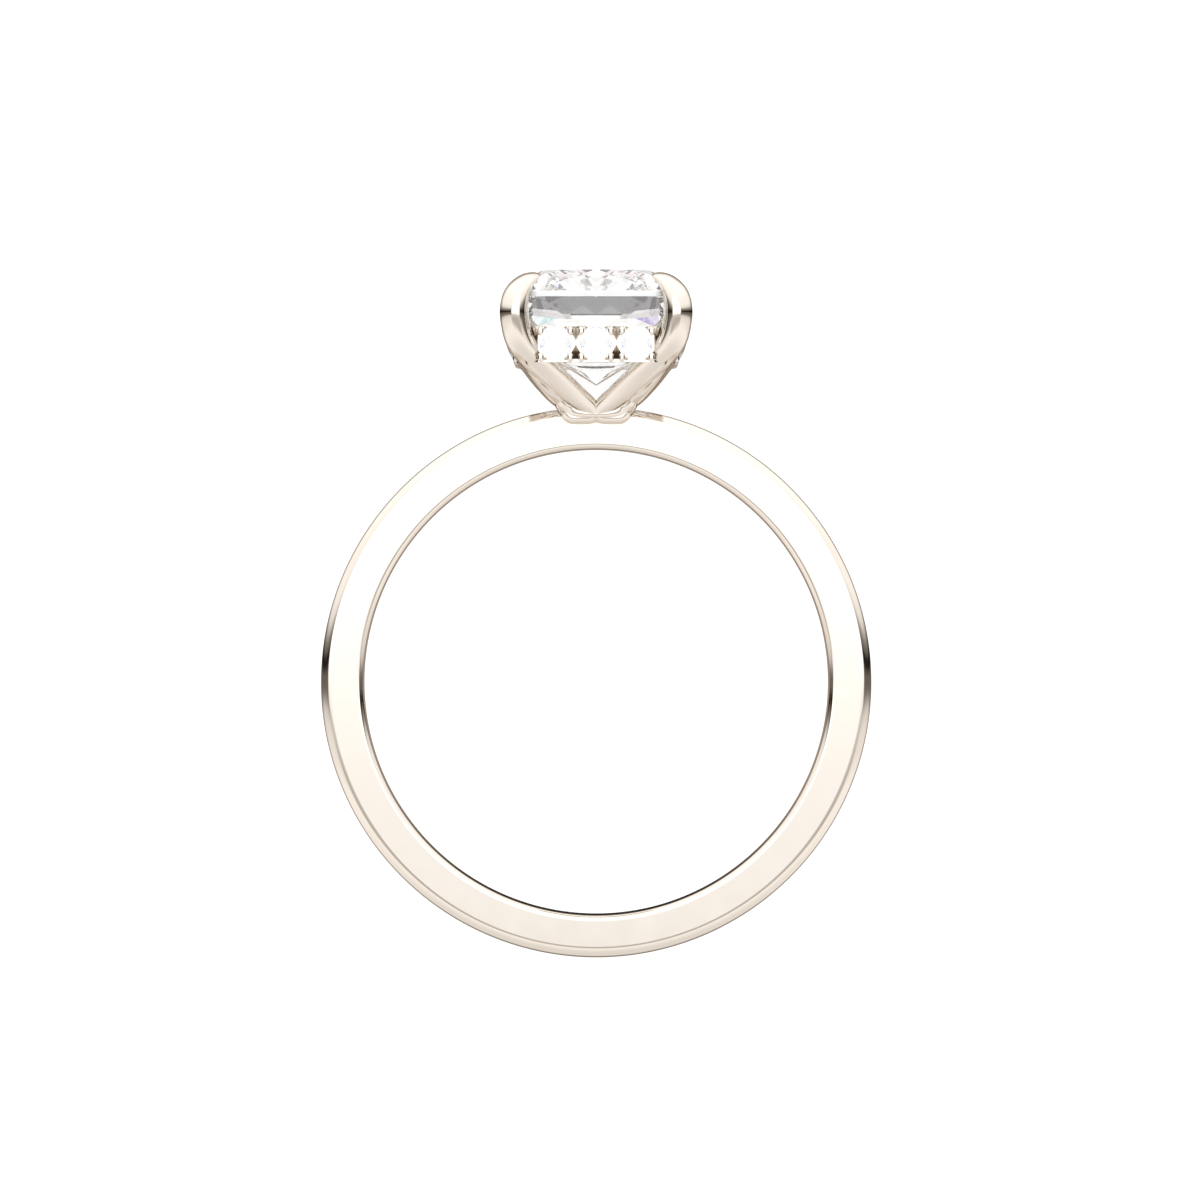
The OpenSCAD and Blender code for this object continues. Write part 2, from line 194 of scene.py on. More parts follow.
# %% White gold
def make_white_gold():
    """Rhodium-plated white gold, buffed: a bright mirror, with painted shade in corners and painted white
    behind stones.
    """
    material, tree = new_material("polished_white_gold")
    where = add_node(tree, "ShaderNodeTexCoord").outputs["Object"]
    # Buffing haze, in patches about 0.8 mm across
    haze = add_node(tree, "ShaderNodeTexNoise", {"Vector": where, "Scale": 1250.0, "Detail": 3.0})
    rough = add_node(
        tree, "ShaderNodeMapRange",
        {"Value": haze.outputs["Fac"], "From Min": 0.3, "From Max": 0.7, "To Min": 0.05, "To Max": 0.07},
    )
    tint = add_node(
        tree, "ShaderNodeMix",
        {"Factor": haze.outputs["Fac"], "A": linear("#E8E1D8"), "B": linear("#E4DCD2")},
        data_type="RGBA",
    )
    # Painted shade: within 0.3 mm of another face, the colour darkens to taupe-brown
    air = add_node(
        tree, "ShaderNodeAmbientOcclusion", {"Distance": 0.0003}, samples=8, only_local=True
    )
    unshaded_share = add_node(
        tree, "ShaderNodeMapRange",
        {"Value": air.outputs["AO"], "From Min": 0.2, "From Max": 0.75}, interpolation_type="SMOOTHSTEP",
    )
    recess_shaded = add_node(
        tree, "ShaderNodeMix",
        {"Factor": unshaded_share.outputs[0], "A": linear("#968A7F"), "B": tint.outputs["Result"]},
        data_type="RGBA",
    )
    # Painted highlight: what a stone shows of the metal is painted plain white, whatever its shade
    ray = add_node(tree, "ShaderNodeLightPath")
    colour = add_node(
        tree, "ShaderNodeMix",
        {"Factor": ray.outputs["Is Transmission Ray"], "A": recess_shaded.outputs["Result"],
         "B": linear("#FFFFFF")},
        data_type="RGBA",
    )
    # Buffing lines are thousandths of a millimetre wide. They are drawn 0.05 mm apart to show at all.
    stretched = add_node(tree, "ShaderNodeMapping", {"Vector": where, "Scale": (20000, 2000, 2000)})
    lines = add_node(tree, "ShaderNodeTexNoise", {"Vector": stretched.outputs[0], "Scale": 1.0})
    bump = add_node(
        tree, "ShaderNodeBump",
        {"Height": lines.outputs["Fac"], "Strength": 0.02, "Distance": 0.00001},
    )
    metal = add_node(
        tree, "ShaderNodeBsdfPrincipled",
        {"Base Color": colour.outputs["Result"], "Metallic": 1.0, "Roughness": rough.outputs[0],
         "Normal": bump.outputs[0]},
    )
    add_node(tree, "ShaderNodeOutputMaterial", {"Surface": metal.outputs[0]})
    return material


white_gold = make_white_gold()
print("Metal:", white_gold.name)

# %% [markdown]
# ## The band
#
# The band is the same section all the way round: flat sides, two wider roundings outside and two narrower
# ones inside, where it touches the finger. A shape like this is a curve swept round a circle. The tree
# rounds the corners of a rectangle, each by its own radius, and sweeps it, so any of its sizes can be
# changed in one place.

# %% Band
def make_band_tree():
    """A rounded rectangle swept round the finger."""
    tree, given = new_tree(
        "Band", Finger="Float", Thickness="Float", Width="Float", Outer="Float", Inner="Float",
        Steps="Int", Material="Material",
    )
    size = given.outputs
    section = add_node(
        tree, "GeometryNodeCurvePrimitiveQuadrilateral",
        {"Width": size["Thickness"], "Height": size["Width"]}, mode="RECTANGLE",
    )
    place = add_node(tree, "GeometryNodeInputPosition")
    x = add_node(tree, "ShaderNodeSeparateXYZ", {0: place.outputs[0]}).outputs["X"]
    # On a circle, a section's X points away from the middle
    inside = add_node(tree, "FunctionNodeCompare", {0: x, 1: 0.0}, operation="LESS_THAN")
    radius = add_node(
        tree, "GeometryNodeSwitch",
        {"Switch": inside.outputs[0], "False": size["Outer"], "True": size["Inner"]},
        input_type="FLOAT",
    )
    rounded = add_node(
        tree, "GeometryNodeFilletCurve",
        {"Curve": section.outputs[0], "Count": 10, "Radius": radius.outputs[0]}, mode="POLY",
    )
    middle = add_node(
        tree, "ShaderNodeMath", {0: size["Finger"], 1: size["Thickness"]}, operation="ADD"
    )
    half = add_node(tree, "ShaderNodeMath", {0: middle.outputs[0], 1: 0.5}, operation="MULTIPLY")
    circle = add_node(
        tree, "GeometryNodeCurvePrimitiveCircle",
        {"Resolution": size["Steps"], "Radius": half.outputs[0]}, mode="RADIUS",
    )
    swept = add_node(
        tree, "GeometryNodeCurveToMesh",
        {"Curve": circle.outputs[0], "Profile Curve": rounded.outputs[0]},
    )
    finish_tree(tree, given, swept.outputs[0])
    return tree


band = run_tree(
    make_band_tree(), "band", Finger=finger_d, Thickness=band_t, Width=band_w, Outer=outer_round,
    Inner=inner_round, Steps=288, Material=white_gold,
)
ON_FINGER_AXIS = Matrix.Rotation(math.radians(90), 4, "X")
band.data.transform(ON_FINGER_AXIS)
flat = [math.hypot(v.co.x, v.co.z) for v in band.data.vertices if abs(v.co.y) > band_w / 2 - 0.001]
print("Band:", len(band.data.polygons), "faces")
print("Its sides are flat from", round(min(flat), 2), "to", round(max(flat), 2), "mm off the middle")

# %% [markdown]
# ## Claws and legs
#
# Each corner claw is one bar. It starts as a flat tip over the stone, widens where it rounds the corner,
# and runs down and inwards to the base as the front leg. A second bar leaves it below the gallery, comes
# down beside the band and turns inwards over the base. Bars whose section changes all along are best
# drawn by stations: the middle of the bar, the half sizes of its section and the way it faces, at a few
# heights. A smooth curve through the stations gives the rings of points in between, and faces join one
# ring to the next.

# %% Stations of the bars
# x, y: middle of the bar. h: its height above the band. wide, deep: half sizes of its section.
# turn: where the deep side faces, 45 out of the corner and 90 along the finger.
# boxy: 1 is an oval section, and less than 1 is squarer.
claw_rows = [
    (2.02, 2.02 + longer, 4.49, 0.16, 0.08, 45, 1.00),
    (2.20, 2.20 + longer, 4.47, 0.31, 0.18, 45, 1.00),
    (2.50, 2.50 + longer, 4.27, 0.43, 0.29, 45, 0.98),
    (2.77, 2.77 + longer, 3.85, 0.50, 0.40, 45, 0.95),
    (2.86, 2.86 + longer, 3.33, 0.52, 0.46, 45, 0.92),
    (2.82, 2.82 + longer, 2.80, 0.52, 0.46, 45, 0.92),
    (2.68, 2.68 + longer, 2.28, 0.52, 0.45, 48, 0.90),
    (2.38, 2.40 + longer, 1.82, 0.50, 0.42, 56, 0.86),
    (1.92, 1.96 + longer, 1.40, 0.46, 0.38, 68, 0.82),
    (1.29, 1.30 + longer, 0.87, 0.42, 0.36, 80, 0.80),
    (0.68, 1.43, 0.36, 0.37, 0.34, 88, 0.80),
    (0.22, 1.13, 0.00, 0.30, 0.30, 90, 0.86),
    (0.02, 1.02, -0.28, 0.20, 0.28, 90, 0.90),
]
side_rows = [
    (2.70, 2.66 + longer, 2.42, 0.34, 0.34, 45, 0.90),
    (2.47, 2.14 + longer, 1.84, 0.42, 0.39, 34, 0.88),
    (2.12, 1.60 + longer, 1.32, 0.44, 0.38, 20, 0.84),
    (1.67, 0.96 + longer, 0.82, 0.44, 0.37, 8, 0.80),
    (1.28, 1.07, 0.42, 0.42, 0.36, 2, 0.78),
    (1.12, 1.00, 0.11, 0.36, 0.31, 14, 0.80),
    (0.87, 1.00, -0.12, 0.33, 0.31, 45, 0.86),
    (0.50, 1.08, -0.24, 0.22, 0.24, 80, 0.94),
    (0.00, 1.10, -0.28, 0.18, 0.22, 90, 0.96),
]
BAR_SIDES = 40
BAR_STEPS = 7
# Degrees up the dome on a bar's first end
DOME_TURNS = (80, 60, 40, 20)
print("A claw has", len(claw_rows), "stations, and a side leg", len(side_rows))


# %% Sweep a bar through its stations
def between(rows, u):
    """Values at u, from 0 at the first station to 1 at the last, on a smooth curve through them all."""
    last = len(rows) - 1
    i = min(int(u * last), last - 1)
    t = u * last - i
    quads = zip(rows[max(i - 1, 0)], rows[i], rows[i + 1], rows[min(i + 2, last)])
    return [
        0.5 * (2 * b + (c - a) * t + (2 * a - 5 * b + 4 * c - d) * t * t
               + (3 * b - a - 3 * c + d) * t ** 3)
        for a, b, c, d in quads
    ]


def bar_rings(rows):
    """Rings of points round a bar. The first end is domed over half its thickness."""
    steps = (len(rows) - 1) * BAR_STEPS
    rings = []
    for k in range(steps + 1):
        x, y, h, wide, deep, turn, boxy = between(rows, k / steps)
        back = between(rows, max(k - 0.5, 0) / steps)
        fore = between(rows, min(k + 0.5, steps) / steps)
        along = Vector([fore[i] - back[i] for i in range(3)]).normalized()
        facing = Vector((math.cos(math.radians(turn)), math.sin(math.radians(turn)), 0))
        out = (facing - facing.dot(along) * along).normalized()
        across = along.cross(out)
        middle = Vector((x, y, h + band_top))
        ring = []
        for j in range(BAR_SIDES):
            s, c = math.sin(math.tau * j / BAR_SIDES), math.cos(math.tau * j / BAR_SIDES)
            ring.append(
                middle + wide * math.copysign(abs(s) ** boxy, s) * across
                + deep * math.copysign(abs(c) ** boxy, c) * out
            )
        if k == 0:
            for a in DOME_TURNS:
                share, shift = math.cos(math.radians(a)), math.sin(math.radians(a)) * deep
                rings.append([middle + (p - middle) * share - along * shift for p in ring])
        rings.append(ring)
    return rings


def mesh_object(name, points, faces):
    """A mesh object whose faces are turned to point outwards."""
    mesh = bpy.data.meshes.new(name)
    mesh.from_pydata([tuple(p) for p in points], [], faces)
    shape = bmesh.new()
    shape.from_mesh(mesh)
    bmesh.ops.remove_doubles(shape, verts=shape.verts, dist=1e-6)
    bmesh.ops.recalc_face_normals(shape, faces=shape.faces)
    shape.to_mesh(mesh)
    shape.free()
    thing = bpy.data.objects.new(name, mesh)
    bpy.context.scene.collection.objects.link(thing)
    thing.data.materials.append(white_gold)
    return thing


def skin(name, rings):
    """Joins rings of points into a tube and fills its ends. A ring of no size closes to a point."""
    n, last = len(rings[0]), len(rings) - 1
    faces = [
        (k * n + i, k * n + (i + 1) % n, (k + 1) * n + (i + 1) % n, (k + 1) * n + i)
        for k in range(last) for i in range(n)
    ]
    faces += [tuple(range(n)), tuple(range(last * n, (last + 1) * n))]
    return mesh_object(name, [p for ring in rings for p in ring], faces)


CORNERS = [(x, y) for x in (1, -1) for y in (1, -1)]
bars = []
for rows in (claw_rows, side_rows):
    rings = bar_rings(rows)
    for sx, sy in CORNERS:
        mirrored = [[Vector((sx * p.x, sy * p.y, p.z)) for p in ring] for ring in rings]
        bars.append(skin("bar", mirrored))
print("Bars:", len(bars), "with", sum(len(b.data.polygons) for b in bars), "faces")

# %% [markdown]
# ## The base
#
# The legs come together on two short barrels that lie side by side astride the band. Each shows as a
# rounded lip on the front of the band. Seen from the front, a barrel is squarer than round: its outline
# runs round a large circle and then round a small one at its outer side. For each direction, the circle
# that reaches further gives the point. Moving all the points inwards along their directions gives the
# smaller rings of a rounded rim. A plain block then keeps only the part below the legs.

# %% Base
# x of the two circles' middles and their radii, how far a barrel reaches along the finger, and its rim
lobe_x, lobe_r, lobe_reach, lobe_round = (0.36, 0.8), (0.9, 0.45), 1.25, 0.22
# How far the lips hang below the band's outside, and how far the base stands above it
lip_low, base_high = 0.62, 0.12
BARREL_SIDES = 120
RIM_STEP = 10


def barrel(side):
    """A barrel across the band, on the left for -1 and on the right for 1."""
    outline = []
    for k in range(BARREL_SIDES):
        turn = math.tau * k / BARREL_SIDES
        way = Vector((math.cos(turn), 0, math.sin(turn)))
        circles = [(Vector((x, 0, band_top - lip_low + r)), r) for x, r in zip(lobe_x, lobe_r)]
        middle, r = max(circles, key=lambda circle: circle[0].dot(way) + circle[1])
        outline.append((middle, r, way))
    levels = []
    for degrees in range(90, -1, -RIM_STEP):
        a = math.radians(degrees)
        levels.append((lobe_round * (1 - math.cos(a)), lobe_reach - lobe_round * (1 - math.sin(a))))
    levels += [(d, -y) for d, y in levels[::-1]]
    rings = []
    for d, y in levels:
        ring = [middle + (r - d) * way + Vector((0, y, 0)) for middle, r, way in outline]
        rings.append([Vector((side * p.x, p.y, p.z)) for p in ring])
    return skin("barrel", rings)


barrels = [barrel(-1), barrel(1)]
print("Barrels:", sum(len(b.data.polygons) for b in barrels), "faces")

# %% [markdown]
# ## The gallery
#
# The hidden halo sits in a wall that follows the stone's outline under its girdle. The wall has a notch
# between every two stones, above and below, a seat for each stone, and four small beads of metal raised
# round each. All of these repeat along four sides, so one tree sets out copies of any shape in a row.
# It is used for the seats, the notches and the beads, with the number of stones on each side.

# %% A row of copies
def make_row_tree():
    """Copies of a shape along X, centred, a pitch apart."""
    tree, given = new_tree("Row", Shape="Object", Count="Int", Pitch="Float", Material="Material")
    size = given.outputs
    gaps = add_node(tree, "ShaderNodeMath", {0: size["Count"], 1: -1.0}, operation="ADD")
    length = add_node(
        tree, "ShaderNodeMath", {0: gaps.outputs[0], 1: size["Pitch"]}, operation="MULTIPLY"
    )
    half = add_node(tree, "ShaderNodeMath", {0: length.outputs[0], 1: -0.5}, operation="MULTIPLY")
    first = add_node(tree, "ShaderNodeCombineXYZ", {"X": half.outputs[0]})
    step = add_node(tree, "ShaderNodeCombineXYZ", {"X": size["Pitch"]})
    points = add_node(
        tree, "GeometryNodeMeshLine",
        {"Count": size["Count"], "Start Location": first.outputs[0], "Offset": step.outputs[0]},
        mode="OFFSET",
    )
    shape = add_node(tree, "GeometryNodeObjectInfo", {"Object": size["Shape"]})
    copies = add_node(
        tree, "GeometryNodeInstanceOnPoints",
        {"Points": points.outputs[0], "Instance": shape.outputs["Geometry"]},
    )
    finish_tree(tree, given, copies.outputs[0])
    return tree


row_tree = make_row_tree()
# Turn from the front, distance out from the middle, and number of halo stones, of each side
SIDES = [(0, gallery_y, 3), (90, gallery_x, 4), (180, gallery_y, 3), (270, gallery_x, 4)]


def on_side(turn, reach):
    """Puts something on a side of the gallery, with its Y upwards and its Z out of the wall."""
    return (
        Matrix.Rotation(math.radians(turn), 4, "Z")
        @ Matrix.Translation((0, -reach, gallery_z + halo_up))
        @ Matrix.Rotation(math.radians(90), 4, "X")
    )


def on_all_sides(shape, extra=0):
    """A row of the shape on every side, one for each halo stone and a number of extra ones."""
    rows = []
    for turn, reach, count in SIDES:
        row = run_tree(
            row_tree, "row", Shape=shape, Count=count + extra, Pitch=halo_pitch, Material=white_gold
        )
        row.data.transform(on_side(turn, reach))
        rows.append(row)
    bpy.data.objects.remove(shape)
    return rows


print("Sides:", len(SIDES), "with", sum(count for _, _, count in SIDES), "stones")


# %% Cutters for the seats
def turned(name, profile, steps, place=Matrix()):
    """Turns a profile of (radius, height) points round Z. Its first and last radius are 0."""
    turns = [math.tau * k / steps for k in range(steps)]
    rings = []
    for r, z in profile:
        rings.append([place @ Vector((r * math.cos(a), r * math.sin(a), z)) for a in turns])
    return skin(name, rings)


# How far the halo stones' girdles stand out of the wall
halo_out = 0.05
# The brilliant cut: heights as shares of a stone's width, and radii as shares of its half width
halo_crown, halo_girdle, halo_pavilion = 0.15, 0.03, 0.43
halo_table, halo_star = 0.56, 0.78
TABLE_POINTS = 8
SEAT_SIDES = 64
crown = halo_d * halo_crown
half_girdle = halo_d * halo_girdle / 2
star_h = (1 - halo_star * math.cos(math.pi / TABLE_POINTS)) / (1 - halo_table)
seat_r, seat_low, seat_high = halo_d / 2 + halo_gap, halo_out - half_girdle, halo_out + half_girdle
seat_profile = [
    (0, seat_low - halo_d * halo_pavilion - halo_gap), (seat_r, seat_low), (seat_r, seat_high),
    (halo_d / 2 * halo_star + halo_gap, seat_high + crown * star_h + halo_gap),
    (halo_d / 2 * halo_table + halo_gap, seat_high + crown + halo_gap),
    (0, seat_high + crown + halo_gap),
]
seats = on_all_sides(turned("seat", seat_profile, SEAT_SIDES))
print("A seat is", round(2 * seat_r, 2), "mm wide")

# %% Holes behind the seats, and pockets beside the beads
# An azure is the hole that lets light in behind a stone. It ends under the wall's face.
azure_r, azure_low, azure_high, AZURE_SIDES = 0.2, -gallery_t - 0.1, -0.1, 32
azure_profile = [(0, azure_low), (azure_r, azure_low), (azure_r, azure_high), (0, azure_high)]
seats += on_all_sides(turned("azure", azure_profile, AZURE_SIDES))
# A three-cornered pocket between a stone and each bead, where the setter raised the bead from the wall.
# One of its corners points away from the stone's middle, but a little flatter.
pocket_r, pocket_low, pocket_high, pocket_flat = 0.085, -0.28, 0.1, 0.7
pocket_x, pocket_ys = 0.355, (-0.565, 0.52)
pocket_profile = [(0, pocket_low), (pocket_r, pocket_low), (pocket_r, pocket_high), (0, pocket_high)]
for x in (-pocket_x, pocket_x):
    for y in pocket_ys:
        towards = Matrix.Rotation(math.atan2(y * pocket_flat, x), 4, "Z")
        corner = Matrix.Translation((x, y, 0)) @ towards
        seats += on_all_sides(turned("pocket", pocket_profile, 3, corner))
print("Rows of seats, holes and pockets:", len(seats))


# %% Cutters for the notches
# Where a notch starts, off the stones' middle line, its slope in degrees, half its width and its length
notch_start, notch_slope, notch_half, notch_length = 0.06, 32, 0.36, 1.26
# Height of the rail that the lower notches leave
notch_rail = 0.11


def notch(up):
    """A notch that slopes into the wall, upwards for 1 and downwards for -1. The lower ones are cut short
    later, so that a rail stays below.
    """
    wedge = [(0, 0), (notch_half, -notch_half), (-notch_half, -notch_half)]
    slope = Matrix.Rotation(math.radians(-90 - notch_slope), 4, "X")
    ends = [
        [slope @ Vector((x, y, z)) + Vector((0, notch_start, 0)) for x, y in wedge]
        for z in (0, notch_length)
    ]
    ends = [[Vector((p.x, up * p.y, p.z)) for p in end] for end in ends]
    return skin("notch", ends)


def block(name, low, high):
    """A box between two corners."""
    ends = [(low[i], high[i]) for i in range(3)]
    points = [Vector((x, y, z)) for x in ends[0] for y in ends[1] for z in ends[2]]
    faces = [(0, 1, 3, 2), (4, 6, 7, 5), (0, 4, 5, 1), (2, 3, 7, 6), (0, 2, 6, 4), (1, 5, 7, 3)]
    return mesh_object(name, points, faces)


up_notches = on_all_sides(notch(1), extra=1)
down_notches = on_all_sides(notch(-1), extra=1)
past = 1.0
rail_block = block(
    "rail_block",
    (-gallery_x - past, -gallery_y - past, gallery_z - gallery_h / 2 + notch_rail),
    (gallery_x + past, gallery_y + past, gallery_z + gallery_h),
)
print("Rows of notches:", len(up_notches) + len(down_notches))


# %% Wall
def cut_corner_block(name, x, y, cut, low, high):
    """An upright block whose four corners are cut."""
    corners = [
        (x - cut, -y), (x, cut - y), (x, y - cut), (x - cut, y),
        (cut - x, y), (-x, y - cut), (-x, cut - y), (cut - x, -y),
    ]
    return skin(name, [[Vector((px, py, z)) for px, py in corners] for z in (low, high)])


wall = cut_corner_block(
    "wall", gallery_x, gallery_y, gallery_cut, gallery_z - gallery_h / 2, gallery_z + gallery_h / 2
)
wall_hole = cut_corner_block(
    "wall_hole", gallery_x - gallery_t, gallery_y - gallery_t,
    gallery_cut - gallery_t * (2 - math.sqrt(2)), gallery_z - gallery_h, gallery_z + gallery_h,
)
print("The wall is", round(2 * gallery_x, 2), "mm wide and", round(2 * gallery_y, 2), "mm long")

# %% Beads
bead_w, bead_l, bead_x, bead_y, bead_out, bead_root = 0.22, 0.32, 0.515, 0.46, 0.14, 0.3
bead_dome = 0.07
BEAD_SIDES = 28


def bead():
    """A small rounded claw: an oval post with a domed top."""
    turns = [math.tau * k / BEAD_SIDES for k in range(BEAD_SIDES)]
    levels = [(1, -bead_root), (1, bead_out - bead_dome)]
    levels += [
        (math.cos(math.radians(a)), bead_out - bead_dome * (1 - math.sin(math.radians(a))))
        for a in (15, 30, 45, 60, 75, 90)
    ]
    rings = []
    for share, z in levels:
        r, straight = bead_w / 2 * share, (bead_l - bead_w) / 2
        rings.append([
            Vector((r * math.cos(a), r * math.sin(a) + math.copysign(straight, math.sin(a)), z))
            for a in turns
        ])
    return skin("bead", rings)


beads = []
for x in (-bead_x, bead_x):
    for y in (-bead_y, bead_y):
        shape = bead()
        shape.data.transform(Matrix.Translation((x, y - halo_up, 0)))
        beads += on_all_sides(shape)
print("Beads:", 4 * sum(count for _, _, count in SIDES))

# %% [markdown]
# ## Solder it together
#
# On the real ring all of this is one piece of metal, so the shapes are joined into one skin with nothing
# hidden inside. The claws are first cut to the stone that they hold. The cutter is the stone's own solid,
# a hair bigger all round, so the seat fits whatever the stone's shape is. Joins are made with the manifold
# solver, which needs closed shapes and is quick with them.

# %% Join and cut
SHARP_FROM = math.radians(32)
LARGE_FACES_FIRST = 80


def remember_normals(shape):
    """Stores a shape's own smooth normals, so that later joins and cuts don't disturb its shading."""
    shape.data.shade_smooth()
    shape.data.set_sharp_from_angle(angle=SHARP_FROM)
    modifier = shape.modifiers.new("Normals", "WEIGHTED_NORMAL")
    modifier.keep_sharp, modifier.weight = True, LARGE_FACES_FIRST
    settle(shape)
    normals = [n.vector.copy() for n in shape.data.corner_normals]
    own = shape.data.attributes.new("own_normal", "FLOAT_VECTOR", "CORNER")
    own.data.foreach_set("vector", [c for n in normals for c in n])
    return shape


def combine(first, others, operation):
    """Joins other shapes to the first, or cuts them from it, one by one."""
    for shape in (first, *others):
        if "own_normal" not in shape.data.attributes:
            remember_normals(shape)
    for other in others:
        modifier = first.modifiers.new("Boolean", "BOOLEAN")
        modifier.object, modifier.operation, modifier.solver = other, operation, "MANIFOLD"
    settle(first)
    for other in others:
        bpy.data.objects.remove(other)
    return first


def copy_of(node, grow):
    """A CAD node's shape in upright millimetres, merged, and bigger by about grow on every side."""
    shape = frame["nodes"][node].copy()
    shape.data = shape.data.copy()
    shape.parent = None
    bpy.context.scene.collection.objects.link(shape)
    shape.data.transform(LAY.inverted())
    corners = [Vector(v.co) for v in shape.data.vertices]
    low = Vector([min(c[i] for c in corners) for i in range(3)])
    high = Vector([max(c[i] for c in corners) for i in range(3)])
    middle, size = (low + high) / 2, high - low
    scale = Matrix.Diagonal([1 + 2 * grow / size[i] for i in range(3)]).to_4x4()
    shape.data.transform(Matrix.Translation(middle) @ scale @ Matrix.Translation(-middle))
    mesh = bmesh.new()
    mesh.from_mesh(shape.data)
    bmesh.ops.remove_doubles(mesh, verts=mesh.verts, dist=1e-4)
    bmesh.ops.recalc_face_normals(mesh, faces=mesh.faces)
    mesh.to_mesh(shape.data)
    mesh.free()
    return shape


claws = combine(bars[0], bars[1:], "UNION")
combine(claws, [copy_of("centre_stone", stone_gap)], "DIFFERENCE")
base = combine(barrels[0], barrels[1:], "UNION")
# Everything below the legs, out to 3 mm from the middle
keep = 3.0
below_legs = block("below_legs", (-keep, -keep, 0), (keep, keep, band_top + base_high))
combine(base, [below_legs], "INTERSECT")
combine(wall, [wall_hole] + up_notches, "DIFFERENCE")
lower = combine(down_notches[0], down_notches[1:], "UNION")
combine(lower, [rail_block], "INTERSECT")
combine(wall, [lower], "DIFFERENCE")
combine(wall, beads, "UNION")
metal = combine(band, [base, claws, wall], "UNION")
combine(metal, seats, "DIFFERENCE")
print("The metal has", len(metal.data.polygons), "faces")

# %% [markdown]
# ## Smooth where it is round, crisp where it is not
#
# Joins leave long thin faces, and shading them afresh would ripple in a mirror. Each shape therefore
# stored its own normals before it was joined, with its large flat faces kept flat, and the finished metal
# takes them back. The faces left by a cutter look inwards on the cutter, so theirs are turned round.

# %% Shade the metal and lay it down
def use_own_normals(shape, turn):
    """Shades a joined shape by the normals that its parts remembered, turned as the shape was."""
    own = shape.data.attributes["own_normal"]
    normals = []
    for face in shape.data.polygons:
        for corner in face.loop_indices:
            normal = (turn @ Vector(own.data[corner].vector)).normalized()
            normals.append(normal if normal.dot(face.normal) > 0 else -normal)
    shape.data.normals_split_custom_set(normals)
    shape.data.attributes.remove(own)


metal.name = "mounting_metal"
metal.data.transform(LAY)
use_own_normals(metal, LAY.to_3x3())
metal.data.materials.clear()
metal.data.materials.append(white_gold)
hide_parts("mounting")
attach(metal, "root")
print("Metal:", len(metal.data.vertices), "points")

# %% [markdown]
# ## Diamond
#
# Diamond bends light more than any other clear stone, so a glass shader with its index, 2.417, does most of
# the work: light that enters is turned back many times by the facets. Its flashes of colour come from
# bending blue more than red, which this shader can't do. They are put in the room that the stones show,
# further down. The girdle is the one part that isn't polished. It is finely ground and scatters light, so
# it shows as a white line round the stone, and a white rough surface is mixed in there.

# %% Diamond
def make_diamond(name, girdle=None):
    """Cut diamond. girdle is the (lowest, highest) upright height of a ground girdle, in millimetres."""
    material, tree = new_material(name)
    surface = add_node(
        tree, "ShaderNodeBsdfGlass", {"Color": (1, 1, 1, 1), "IOR": 2.417, "Roughness": 0.0}
    )
    if girdle:
        where = add_node(tree, "ShaderNodeTexCoord").outputs["Object"]
        height = add_node(
            tree, "ShaderNodeVectorMath", {0: where, 1: TO_STONE}, operation="DOT_PRODUCT"
        )
        low, high = (Vector(hole["pos_m"]).dot(TO_STONE) + h / 1000 for h in girdle)
        middle, half = (low + high) / 2, (high - low) / 2
        away = add_node(
            tree, "ShaderNodeMath", {0: height.outputs["Value"], 1: middle}, operation="SUBTRACT"
        )
        off = add_node(tree, "ShaderNodeMath", {0: away.outputs[0]}, operation="ABSOLUTE")
        inside = add_node(tree, "ShaderNodeMath", {0: off.outputs[0], 1: half}, operation="LESS_THAN")
        # Grit of the girdle, about 0.03 mm
        grit = add_node(tree, "ShaderNodeTexNoise", {"Vector": where, "Scale": 33000.0})
        frost = add_node(
            tree, "ShaderNodeMapRange", {"Value": grit.outputs["Fac"], "To Min": 0.85, "To Max": 1.0}
        )
        share = add_node(
            tree, "ShaderNodeMath", {0: inside.outputs[0], 1: frost.outputs[0]}, operation="MULTIPLY"
        )
        ground = add_node(
            tree, "ShaderNodeBsdfPrincipled", {"Base Color": linear("#FFFFFF"), "Roughness": 0.6}
        )
        surface = add_node(
            tree, "ShaderNodeMixShader",
            {0: share.outputs[0], 1: surface.outputs[0], 2: ground.outputs[0]},
        )
    add_node(tree, "ShaderNodeOutputMaterial", {"Surface": surface.outputs[0]})
    return material


diamond = make_diamond("brilliant_diamond")
radiant = make_diamond("radiant_diamond", (girdle_low, girdle_top))
for name, node in frame["nodes"].items():
    if name != "mounting":
        node.data.materials.clear()
        node.data.materials.append(radiant if name == "centre_stone" else diamond)
print("Stones:", len(frame["nodes"]) - 1)

# %% [markdown]
# ## Floor
#
# The ring lies on a light table: matt white acrylic, lit softly from below, which keeps shadows faint.
# The metal and the stones don't mirror it. A product photographer gets the same effect by lifting the
# ring above the table on a thin clear stand, so that the room is mirrored from all sides.

# %% Floor
def make_acrylic():
    """Sand-blasted white acrylic, lit from below: even and pale, with a grain almost too fine to see."""
    material, tree = new_material("lit_white_acrylic")
    where = add_node(tree, "ShaderNodeTexCoord").outputs["Object"]
    # Blasting grit, about 0.3 mm
    grain = add_node(tree, "ShaderNodeTexNoise", {"Vector": where, "Scale": 3000.0, "Detail": 4.0})
    tint = add_node(
        tree, "ShaderNodeMix",
        {"Factor": grain.outputs["Fac"], "A": linear("#C4C4C4"), "B": linear("#BEBEBE")},
        data_type="RGBA",
    )
    acrylic = add_node(
        tree, "ShaderNodeBsdfPrincipled",
        {"Base Color": tint.outputs["Result"], "Roughness": 0.9, "Specular IOR Level": 0.1,
         "Emission Color": linear("#FFFFFF"), "Emission Strength": 0.78},
    )
    add_node(tree, "ShaderNodeOutputMaterial", {"Surface": acrylic.outputs[0]})
    return material


